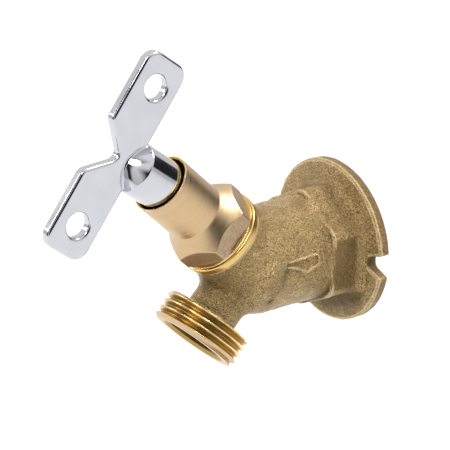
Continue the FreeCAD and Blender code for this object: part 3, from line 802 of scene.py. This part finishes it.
RING_RADIUS = 12.8
RING_BOTTOM = 14.5
RING_TOP = 16.3
RING_LIP_TOP = 16.72
RING_LIP_RADIUS = 12.0
RING_BEVEL = 0.3
CLEARANCE = 0.02
GASKET_TOP = 16.9
WASHER_COLLAR_RADIUS = 12.4
WASHER_COLLAR_TOP = 17.5
BONNET_HEX = Polygon(22.6, 6, 0.7)
BONNET_HEX_CORNER = 13.05
BONNET_HEX_TOP = 21.9
HEX_LIFT = 0.05
HEX_SIDE_RADIUS = 10.5
CONE_FOOT_SLOPE = 0.78
CONE_ROWS = 6
SHIELD_START = 27.5
SHIELD_RADIUS = 8.8
SHIELD_BORE = 8.0
SHIELD_BEVEL = 0.5
SHIELD_FLOOR = 31.5
STUFFING_RADIUS = 6.25
STUFFING_FLOOR = 23.4
STEM_HOLE = 4.85
HOLDER_RECESS = 8.2
HOLDER_RECESS_TOP = 15.6
SPIGOT_END = 9.6
SPIGOT_RADIUS = 9.85


def face_ring():
    """The bright turned face on which the bonnet's gasket is clamped."""
    return turned("bonnet_face_ring", [
        (CHAMBER_RADIUS + CLEARANCE, RING_BOTTOM),
        (RING_RADIUS - RING_BEVEL, RING_BOTTOM),
        (RING_RADIUS, RING_BOTTOM + RING_BEVEL),
        (RING_RADIUS, RING_LIP_TOP - RING_BEVEL),
        (RING_RADIUS - RING_BEVEL, RING_LIP_TOP),
        (RING_LIP_RADIUS, RING_LIP_TOP),
        (RING_LIP_RADIUS, RING_TOP),
        (CHAMBER_RADIUS + CLEARANCE, RING_TOP),
    ], BONNET, rounding=0.15)


def cone_height(radius):
    """Height of the slightly hollow cone between the hexagon and the shield."""
    out = radius - SHIELD_RADIUS
    reach = BONNET_HEX_CORNER - SHIELD_RADIUS
    rise = SHIELD_START - BONNET_HEX_TOP
    hollow = (rise - CONE_FOOT_SLOPE * reach) / reach ** 2
    return SHIELD_START - (CONE_FOOT_SLOPE + 2 * hollow * reach) * out + hollow * out ** 2


def bonnet():
    """The bonnet and its lock shield, turned from one hexagonal bar."""
    angles = BONNET_HEX.angles()
    hexagon = BONNET_HEX.radius(angles)
    under = np.maximum(hexagon - WASHER_COLLAR_RADIUS, 0)
    cone_radii = [
        SHIELD_RADIUS + (hexagon - SHIELD_RADIUS) * share for share in np.linspace(1, 0, CONE_ROWS)
    ]
    cone = [(radius, cone_height(radius)) for radius in cone_radii]
    return turned("lock_shield_bonnet_body", [
        (WASHER_COLLAR_RADIUS, GASKET_TOP),
        (WASHER_COLLAR_RADIUS, WASHER_COLLAR_TOP),
        (np.minimum(hexagon, WASHER_COLLAR_RADIUS - CLEARANCE), WASHER_COLLAR_TOP + HEX_LIFT),
        (hexagon, WASHER_COLLAR_TOP + 2 * HEX_LIFT + under),
        *cone,
        (SHIELD_RADIUS, SHIELD_RIM),
        (SHIELD_BORE + SHIELD_BEVEL, SHIELD_RIM),
        (SHIELD_BORE, SHIELD_RIM - SHIELD_BEVEL),
        (SHIELD_BORE, SHIELD_FLOOR),
        (STUFFING_RADIUS, SHIELD_FLOOR),
        (STUFFING_RADIUS, STUFFING_FLOOR),
        (STEM_HOLE, STUFFING_FLOOR),
        (STEM_HOLE, HOLDER_RECESS_TOP),
        (HOLDER_RECESS, HOLDER_RECESS_TOP),
        (HOLDER_RECESS, SPIGOT_END),
        (SPIGOT_RADIUS - 0.4, SPIGOT_END),
        (SPIGOT_RADIUS, SPIGOT_END + 0.5),
        (SPIGOT_RADIUS, GASKET_TOP),
    ], BONNET, angles, rounding=0.16)


# -------- loose key

KEY_NOSE_END = -7.6
KEY_NOSE_TOP = -5.0
KEY_NOSE_RADIUS = 6.5
KEY_BARREL_RADIUS = 7.4
KEY_DOME_TOP = 15.4
DOME_ARC = 19.5
DOME_TIP_LEAN = math.radians(19)
KEY_SOCKET_HALF = 3.95
KEY_SOCKET_DEPTH = 7.0
WING_BOTTOM = 11.1
WING_TOP = 26.1
WING_SPAN = 29.9
WING_CORNER = 4.0
WING_HALF_THICKNESS = 1.65
WING_EDGE = 0.85
NOTCH_HALF = 7.8
NOTCH_BOTTOM = 18.2
NOTCH_FLOOR_HALF = 0.9
KEY_HOLE_RADIUS = 3.6
KEY_HOLE_SPAN = 21.2
KEY_HOLE_HEIGHT = 18.5
KEY_STEP = 0.26
KEY_LOW = (-8.2, -30.6, -8.4)
KEY_HIGH = (8.2, 30.6, 26.9)
KEY_BARREL_EDGE = 0.35
KEY_NOSE_EDGE = 0.5
DOME_EDGE = 0.2
WING_FILLET = 0.4
SOCKET_EDGE = 0.25
NOTCH_FLOOR_ROUND = 0.8
NOTCH_MOUTH_ROUND = 1.0
KEY_NORMAL_STEP = 0.05


def wing_outline(span, height):
    """Distance to the flat outline of the wings: a rounded bar with a notch and two holes."""
    bar = disc(height, np.abs(span), WING_BOTTOM, WING_TOP, WING_SPAN, WING_CORNER)
    flare = (NOTCH_HALF - NOTCH_FLOOR_HALF) / (WING_TOP - NOTCH_BOTTOM)
    side = np.abs(span) - NOTCH_FLOOR_HALF - (height - NOTCH_BOTTOM) * flare
    notch = round_common(side / math.hypot(1, flare), NOTCH_BOTTOM - height, NOTCH_FLOOR_ROUND)
    holes = KEY_HOLE_RADIUS - np.hypot(np.abs(span) - KEY_HOLE_SPAN, height - KEY_HOLE_HEIGHT)
    return np.maximum(round_cut(bar, notch, NOTCH_MOUTH_ROUND), holes)


def key_field(points):
    """Distance to the key, in its own frame: X through the wings, Z along the shank."""
    across, span, height = points[..., 0], points[..., 1], points[..., 2]
    radius = np.hypot(across, span)
    wings = round_common(wing_outline(span, height), np.abs(across) - WING_HALF_THICKNESS,
                         WING_EDGE)
    barrel_body = disc(height, radius, KEY_NOSE_TOP, BEYOND, KEY_BARREL_RADIUS, KEY_BARREL_EDGE)
    nose = disc(height, radius, KEY_NOSE_END, KEY_NOSE_TOP + 1, KEY_NOSE_RADIUS, KEY_NOSE_EDGE)
    rise = np.maximum(height - KEY_DOME_TOP + DOME_ARC * math.cos(DOME_TIP_LEAN), 0)
    dome = np.hypot(radius + DOME_ARC * math.sin(DOME_TIP_LEAN), rise) - DOME_ARC
    shank = np.minimum(round_common(barrel_body, dome, DOME_EDGE), nose)
    whole = round_union(shank, wings, WING_FILLET)
    socket = np.maximum(np.abs(across), np.abs(span)) - KEY_SOCKET_HALF
    socket = np.maximum(socket, height - KEY_NOSE_END - KEY_SOCKET_DEPTH)
    return round_cut(whole, socket, SOCKET_EDGE)


def loose_key():
    """The whole key as one smooth cast and plated form, with exact normals."""
    points, quads = meshed(key_field, KEY_LOW, KEY_HIGH, KEY_STEP)
    piece = new_piece("loose_key_body", points, quads, KEY)
    normals = gradient(key_field, points, KEY_NORMAL_STEP)
    piece.data.normals_split_custom_set_from_vertices(normals.tolist())
    return piece


# -------- materials

class Nodes:
    """The emptied node tree of a material or world, filled one call at a time."""

    def __init__(self, owner):
        owner.use_nodes = True
        self.tree = owner.node_tree
        self.tree.nodes.clear()

    def node(self, kind, **settings):
        made = self.tree.nodes.new(kind)
        for key, value in settings.items():
            setattr(made, key, value)
        return made

    def link(self, source, target):
        self.tree.links.new(source, target)

    def maths(self, operation, *values, clamp=False):
        node = self.node("ShaderNodeMath", operation=operation, use_clamp=clamp)
        for socket, value in zip(node.inputs, values):
            if isinstance(value, bpy.types.NodeSocket):
                self.link(value, socket)
            else:
                socket.default_value = value
        return node.outputs[0]


class Look(Nodes):
    """A metal or plain surface, made of procedural nodes that count in millimetres."""

    def __init__(self, name, metallic=1.0):
        self.material = bpy.data.materials.new(name)
        super().__init__(self.material)
        self.surface = self.node("ShaderNodeBsdfPrincipled")
        self.set(Metallic=metallic)
        output = self.node("ShaderNodeOutputMaterial")
        self.link(self.surface.outputs["BSDF"], output.inputs["Surface"])
        place = self.node("ShaderNodeTexCoord")
        self.place = self.scaled(place.outputs["Object"], (1 / MM, 1 / MM, 1 / MM))

    def scaled(self, vector, scale):
        node = self.node("ShaderNodeVectorMath", operation="MULTIPLY")
        self.link(vector, node.inputs[0])
        node.inputs[1].default_value = scale
        return node.outputs[0]

    def noise(self, size, detail=2.0, roughness=0.5, stretch=(1, 1, 1)):
        """Noise whose features are about `size` millimetres across."""
        node = self.node("ShaderNodeTexNoise")
        self.link(self.scaled(self.place, stretch), node.inputs["Vector"])
        node.inputs["Scale"].default_value = 1 / size
        node.inputs["Detail"].default_value = detail
        node.inputs["Roughness"].default_value = roughness
        return node.outputs["Fac"]

    def remap(self, value, low, high, to_low, to_high):
        node = self.node("ShaderNodeMapRange", interpolation_type="SMOOTHSTEP")
        self.link(value, node.inputs["Value"])
        for name, number in zip(("From Min", "From Max", "To Min", "To Max"),
                                (low, high, to_low, to_high)):
            node.inputs[name].default_value = number
        return node.outputs["Result"]

    def mix(self, share, first, second):
        """A colour between two, each given as a colour or as another node's output."""
        node = self.node("ShaderNodeMix", data_type="RGBA")
        self.link(share, node.inputs["Factor"])
        for socket, colour in ((node.inputs[6], first), (node.inputs[7], second)):
            if isinstance(colour, tuple):
                socket.default_value = (*colour, 1)
            else:
                self.link(colour, socket)
        return node.outputs[2]

    def attribute(self, name):
        return self.node("ShaderNodeAttribute", attribute_name=name).outputs["Fac"]

    def bump(self, height, depth, normal=None):
        """Raise the surface by up to `depth` millimetres where height is 1."""
        node = self.node("ShaderNodeBump")
        node.inputs["Distance"].default_value = depth * MM
        self.link(height, node.inputs["Height"])
        if normal is not None:
            self.link(normal, node.inputs["Normal"])
        self.link(node.outputs["Normal"], self.surface.inputs["Normal"])
        return node.outputs["Normal"]

    def set(self, **values):
        for name, value in values.items():
            socket = self.surface.inputs[name.replace("_", " ")]
            if isinstance(value, bpy.types.NodeSocket):
                self.link(value, socket)
            else:
                socket.default_value = (*value, 1) if isinstance(value, tuple) else value


def cast_brass():
    """Rough sand-cast brass: speckled, with painted shade in corners, under overhangs, on the boss
    flats and on the flange rim, and edge wear with a painted highlight at its edges.
    """
    look = Look("cast_brass_look")
    grain = look.noise(0.42, 3, 0.75)
    patches = look.noise(5.0, 3, 0.55)
    speckle = look.remap(grain, 0.33, 0.67, 0, 1)
    tone = look.mix(speckle, (0.120, 0.078, 0.031), (0.760, 0.550, 0.265))
    dull = look.mix(look.remap(patches, 0.40, 0.66, 0, 0.5), tone, (0.280, 0.195, 0.094))
    # Painted shade: the boss flats and the flange rim are darkened through the skin mask.
    skin = look.maths("MULTIPLY", look.attribute("skin"), 0.6)
    dull = look.mix(skin, dull, (0.180, 0.112, 0.048))
    # Painted shade, with some patina, darkens the corners and recesses that the shelter mask finds.
    corner_shade = look.remap(look.attribute("shelter"), 0.22, 0.70, 0, 0.75)
    painted_light_tone = look.mix(corner_shade, dull, (0.095, 0.060, 0.025))
    # Painted shade on faces that the casting overhangs, such as the flange below the barrel.
    overhang_shade = look.remap(look.attribute("overhang_shade"), 0.26, 0.80, 0, 0.8)
    painted_light_tone = look.mix(overhang_shade, painted_light_tone, (0.085, 0.055, 0.024))
    # Edge wear with a painted highlight: the outer edges and ridges are lightened, broken up by the
    # grain.
    rubbed_and_highlit = look.maths("MULTIPLY", look.attribute("wear_and_highlight"),
                        look.remap(grain, 0.3, 0.7, 0.7, 1.3))
    edge = look.remap(rubbed_and_highlit, 0.08, 0.34, 0, 0.8)
    painted_light_tone = look.mix(edge, painted_light_tone, (0.800, 0.620, 0.350))
    dirt = look.maths("MULTIPLY", look.attribute("soiled"),
                      look.remap(look.noise(0.9, 3, 0.6), 0.40, 0.60, 0.40, 1.0))
    look.set(
        Base_Color=look.mix(dirt, painted_light_tone, (0.075, 0.058, 0.036)),
        Roughness=look.remap(grain, 0.3, 0.7, 0.41, 0.26),
    )
    normal = look.bump(look.noise(0.5, 3, 0.6), 0.8)
    look.bump(look.noise(1.6, 2, 0.5), 0.7, normal)
    return look.material


RING_STRETCH = (0.003, 0.003, 1.0)


def turned_brass(name, bright, dark, roughness, anisotropy):
    """Brass off the lathe: fine rings round the local Z axis."""
    look = Look(name)
    rings = look.noise(0.25, 2, 0.6, stretch=RING_STRETCH)
    broad = look.noise(3.0, 2, 0.5, stretch=(0.25, 0.25, 1.0))
    marks = look.noise(0.8, 2, 0.6, stretch=RING_STRETCH)
    share = look.maths("MULTIPLY", look.remap(rings, 0.35, 0.65, 0.6, 1.0),
                       look.remap(broad, 0.3, 0.7, 0.8, 1.0))
    look.set(
        Base_Color=look.mix(share, dark, bright),
        Roughness=look.remap(rings, 0.3, 0.7, roughness * 1.2, roughness * 0.85),
        Anisotropic=anisotropy,
    )
    tangent = look.node("ShaderNodeTangent", direction_type="RADIAL", axis="Z")
    look.link(tangent.outputs["Tangent"], look.surface.inputs["Tangent"])
    look.bump(marks, 0.05, look.bump(rings, 0.015))
    return look.material


CREST_HIGHLIGHT_BAND = 0.3


def threaded_brass():
    """Bright cut brass with painted shade towards the thread roots and a pale painted highlight
    along the crests, dulled in random stained patches.
    """
    look = Look("threaded_brass_look")
    across = look.node("ShaderNodeVectorMath", operation="LENGTH")
    look.link(look.scaled(look.place, (1, 1, 0)), across.inputs[0])
    # Painted shade and light: darker towards the thread roots and brighter towards the crests,
    # dulled where the random stain is low.
    height = look.remap(across.outputs["Value"], HOSE_THREAD.root, HOSE_THREAD.crest, 0, 1)
    stain = look.remap(look.noise(5.0, 2, 0.5), 0.38, 0.56, 0.15, 1.0)
    share = look.maths("MULTIPLY", height, stain)
    body = look.mix(share, (0.380, 0.250, 0.080), (0.950, 0.700, 0.280))
    # Painted highlight: a pale cream band along the crests.
    crest = look.remap(across.outputs["Value"], HOSE_THREAD.crest - CREST_HIGHLIGHT_BAND,
                       HOSE_THREAD.crest, 0, 0.6)
    look.set(
        Base_Color=look.mix(crest, body, (0.860, 0.700, 0.430)),
        Roughness=look.remap(height, 0.0, 1.0, 0.36, 0.25),
    )
    look.bump(look.noise(0.9, 2, 0.5), 0.03)
    return look.material


def chrome():
    """Bright plating that is very slightly uneven."""
    look = Look("chrome_look")
    flow = look.noise(6.0, 1, 0.4)
    look.set(
        Base_Color=look.mix(look.remap(flow, 0.3, 0.7, 0, 1), (0.535, 0.535, 0.580),
                            (0.565, 0.565, 0.610)),
        Roughness=look.remap(flow, 0.3, 0.7, 0.06, 0.10),
    )
    look.bump(flow, 0.03)
    return look.material


def plain_look(name, first, second, size, roughness, depth, metallic=0.0, band=(0.35, 0.65)):
    """A grain of one size, between two colours."""
    look = Look(name, metallic)
    grain = look.noise(size, 3, 0.6)
    look.set(
        Base_Color=look.mix(look.remap(grain, *band, 0, 1), first, second),
        Roughness=roughness,
    )
    look.bump(grain, depth)
    return look.material


def paint(piece, material):
    piece.data.materials.clear()
    piece.data.materials.append(material)


# -------- light, floor and camera

# Distances, sizes and places here are metres, except for the floor's. Power is in watts.

DARK_PATCHES = [
    # azimuth, elevation, half width, half height, softness, light left in the patch
    (68, 16, 30, 25, 0.25, 0.02),
    (166, 8, 22, 7, 0.12, 0.03),
    (-17, 20, 22, 52, 0.12, 0.02),
]
SKY_TOP = 1.15
SKY_SIDE = 0.78
SKY_COLOUR = (1.0, 0.995, 0.985)

LAMPS = [
    # name, azimuth, elevation, distance, size, power
    ("key_light", 5, 55, 2.2, 0.95, 28.0),
    ("back_light", 168, 56, 2.2, 0.9, 28.0),
    ("side_light", -45, 22, 2.2, 0.8, 14.0),
]

FLOOR_DROP = 150.0
FLOOR_RADIUS = 4000.0
FLOOR_SIDES = 64
FLOOR_GREYS = ((0.74, 0.74, 0.74), (0.76, 0.76, 0.76))

AIM = Vector((0.0, -0.045, 0.010))
CAMERA_LENS = 200.76
CAMERA_SENSOR = 36.0
CAMERA_PLACE = Vector((0.526893, -0.432121, 0.260096))
CAMERA_LOOK = Vector((-0.750995, 0.558349, -0.352495))


def toward(azimuth, elevation):
    """The direction from the object that the view scripts call (azimuth, elevation)."""
    azimuth, elevation = math.radians(azimuth), math.radians(elevation)
    return Vector((math.sin(azimuth) * math.cos(elevation),
                   -math.cos(azimuth) * math.cos(elevation), math.sin(elevation)))


def studio_world():
    """A white tent with the dark patches that the bright metal mirrors.

    Seen directly it is plain white, so that the patches show only in reflections."""
    world = bpy.data.worlds.new("white_tent")
    nodes = Nodes(world)
    maths = nodes.maths
    place = nodes.node("ShaderNodeTexCoord").outputs["Generated"]

    def along(direction):
        node = nodes.node("ShaderNodeVectorMath", operation="DOT_PRODUCT")
        nodes.link(place, node.inputs[0])
        node.inputs[1].default_value = direction
        return node.outputs["Value"]

    def inside(direction, half_angle, softness):
        """1 within the half angle either side of a plane, falling softly to 0."""
        ratio = maths("DIVIDE", maths("ABSOLUTE", along(direction)),
                      math.sin(math.radians(half_angle)))
        return maths("DIVIDE", maths("SUBTRACT", 1 + softness, ratio), 2 * softness, clamp=True)

    up = maths("MAXIMUM", along(Vector((0, 0, 1))), 0.0)
    light = maths("MULTIPLY_ADD", up, SKY_TOP - SKY_SIDE, SKY_SIDE)
    for azimuth, elevation, half_width, half_height, softness, left in DARK_PATCHES:
        centre = toward(azimuth, elevation)
        right = Vector((math.cos(math.radians(azimuth)), math.sin(math.radians(azimuth)), 0))
        mask = maths("MULTIPLY", inside(right, half_width, softness),
                     inside(right.cross(-centre), half_height, softness))
        mask = maths("MULTIPLY", mask, maths("GREATER_THAN", along(centre), 0.0))
        light = maths("MULTIPLY", light, maths("MULTIPLY_ADD", mask, left - 1, 1.0))
    seen = nodes.node("ShaderNodeLightPath").outputs["Is Camera Ray"]
    light = maths("ADD", light, maths("MULTIPLY", seen, maths("SUBTRACT", 1.0, light)))
    background = nodes.node("ShaderNodeBackground")
    background.inputs["Color"].default_value = (*SKY_COLOUR, 1)
    nodes.link(light, background.inputs["Strength"])
    output = nodes.node("ShaderNodeOutputWorld")
    nodes.link(background.outputs["Background"], output.inputs["Surface"])
    bpy.context.scene.world = world


def soft_light(name, azimuth, elevation, distance, size, power):
    data = bpy.data.lights.new(name, "AREA")
    data.shape = "DISK"
    data.size = size
    data.energy = power
    lamp = placed(name, data)
    away = toward(azimuth, elevation)
    lamp.location = AIM + away * distance
    lamp.rotation_euler = away.to_track_quat("Z", "Y").to_euler()


def floor():
    """A wide pale disc a little below the hose outlet."""
    level = CAD_BOX[0][2] / MM - FLOOR_DROP
    rim = around(FLOOR_RADIUS, even_angles(FLOOR_SIDES), level)
    points = np.concatenate([rim, [[0.0, 0.0, level]]])
    faces = [(index, (index + 1) % FLOOR_SIDES, FLOOR_SIDES) for index in range(FLOOR_SIDES)]
    piece = new_piece("studio_floor", points, faces)
    paint(piece, plain_look("floor_look", *FLOOR_GREYS, 40, 0.9, 0.0))


def camera():
    """The camera that took the photograph."""
    data = bpy.data.cameras.new("camera")
    data.sensor_width = CAMERA_SENSOR
    data.lens = CAMERA_LENS
    data.clip_end = 20.0
    eye = placed("camera", data)
    back = -CAMERA_LOOK.normalized()
    right = Vector((0, 0, 1)).cross(back).normalized()
    up = back.cross(right)
    turn = Matrix([right, up, back]).transposed().to_4x4()
    eye.matrix_world = Matrix.Translation(CAMERA_PLACE) @ turn
    bpy.context.scene.camera = eye


# -------- assembly

CAST = cast_brass()
TURNED = turned_brass("turned_brass_look", (0.610, 0.440, 0.255), (0.470, 0.325, 0.180),
                      0.31, 0.55)
POLISHED = turned_brass("polished_brass_look", (0.720, 0.500, 0.190), (0.540, 0.360, 0.125),
                        0.22, 0.3)
# The matt, pinkish faces of the bonnet's hexagon.
MILLED = plain_look("milled_brass_look", (0.340, 0.238, 0.148), (0.490, 0.362, 0.240),
                    0.5, 0.42, 0.05, metallic=1.0, band=(0.3, 0.7))
THREADED = threaded_brass()
CHROME = chrome()
FIBRE = plain_look("gasket_fibre_look", (0.05, 0.035, 0.025), (0.12, 0.09, 0.06), 0.4, 0.8, 0.03)
GRAPHITE = plain_look("graphite_look", (0.03, 0.03, 0.032), (0.08, 0.08, 0.085), 0.5, 0.55, 0.05)
RUBBER = plain_look("rubber_look", (0.012, 0.012, 0.012), (0.03, 0.03, 0.03), 0.6, 0.6, 0.02)

CARRIED_OVER = {
    "bonnet_gasket": FIBRE,
    "packing_washer": TURNED,
    "lower_packing_ring": GRAPHITE,
    "upper_packing_ring": GRAPHITE,
    "gland_follower": TURNED,
    "packing_nut": TURNED,
    "stem": TURNED,
    "disc_holder": TURNED,
    "seat_washer": RUBBER,
    "washer_screw": TURNED,
}


def accent(piece, material, chosen):
    """Give a second look to the faces that chosen(radius, height, facing) picks.

    The radius and height are of the face's centre, and facing is how far it faces local Z."""
    mesh = piece.data
    count = len(mesh.polygons)
    centres, normals = np.empty((count, 3)), np.empty((count, 3))
    mesh.polygons.foreach_get("center", centres.ravel())
    mesh.polygons.foreach_get("normal", normals.ravel())
    index = np.empty(count, int)
    mesh.polygons.foreach_get("material_index", index)
    centres /= MM
    radius = np.hypot(centres[:, 0], centres[:, 1])
    index[chosen(radius, centres[:, 2], normals[:, 2])] = len(mesh.materials)
    mesh.materials.append(material)
    mesh.polygons.foreach_set("material_index", index)


def hexagon_sides(radius, height, facing):
    """The milled flats of the bonnet."""
    between = (height > WASHER_COLLAR_TOP) & (height < SHIELD_START - 2)
    return (np.abs(facing) < 0.1) & between & (radius > HEX_SIDE_RADIUS)


def washer_face(radius, height, facing):
    """The collar under the hexagon, and the bevelled rim of the shield."""
    low = (height > GASKET_TOP - 0.2) & (height < WASHER_COLLAR_TOP + 0.8 * HEX_LIFT)
    rim = (height > SHIELD_RIM - SHIELD_BEVEL - 0.1) & (radius < SHIELD_RADIUS - 0.2)
    return low & (radius > SPIGOT_RADIUS) | rim


def outlet_face(radius, height, facing):
    """The turned end of the hose thread, outside the bevel of its mouth."""
    end = (height > COLLAR_END - 1.4) & (facing > 0.4)
    return end & (radius > MOUTH_RADIUS + MOUTH_CHAMFER)


def install(piece, material, body, node, slot):
    """Finish a visible piece: its look, the body it moves with and the CAD it stands for."""
    paint(piece, material)
    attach(piece, body)
    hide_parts(node)


for node_name, material in CARRIED_OVER.items():
    paint(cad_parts[node_name], material)

VALVE_BODY = ("root", "valve_body", "cast_brass")
install(casting(), CAST, *VALVE_BODY)
install(flow_arrow(), CAST, *VALVE_BODY)
OUTLET_THREAD_PIECE = hose_thread()
install(OUTLET_THREAD_PIECE, THREADED, *VALVE_BODY)
accent(OUTLET_THREAD_PIECE, TURNED, outlet_face)
install(inlet_thread(), POLISHED, *VALVE_BODY)
install(face_ring(), POLISHED, *VALVE_BODY)
BONNET_PIECE = bonnet()
install(BONNET_PIECE, TURNED, "root", "lock_shield_bonnet", "turned_brass")
accent(BONNET_PIECE, MILLED, hexagon_sides)
accent(BONNET_PIECE, POLISHED, washer_face)
install(loose_key(), CHROME, "loose_key", "loose_key", "chrome_plate")

studio_world()
for lamp in LAMPS:
    soft_light(*lamp)
floor()
camera()
bpy.context.scene.view_settings.view_transform = "Standard"
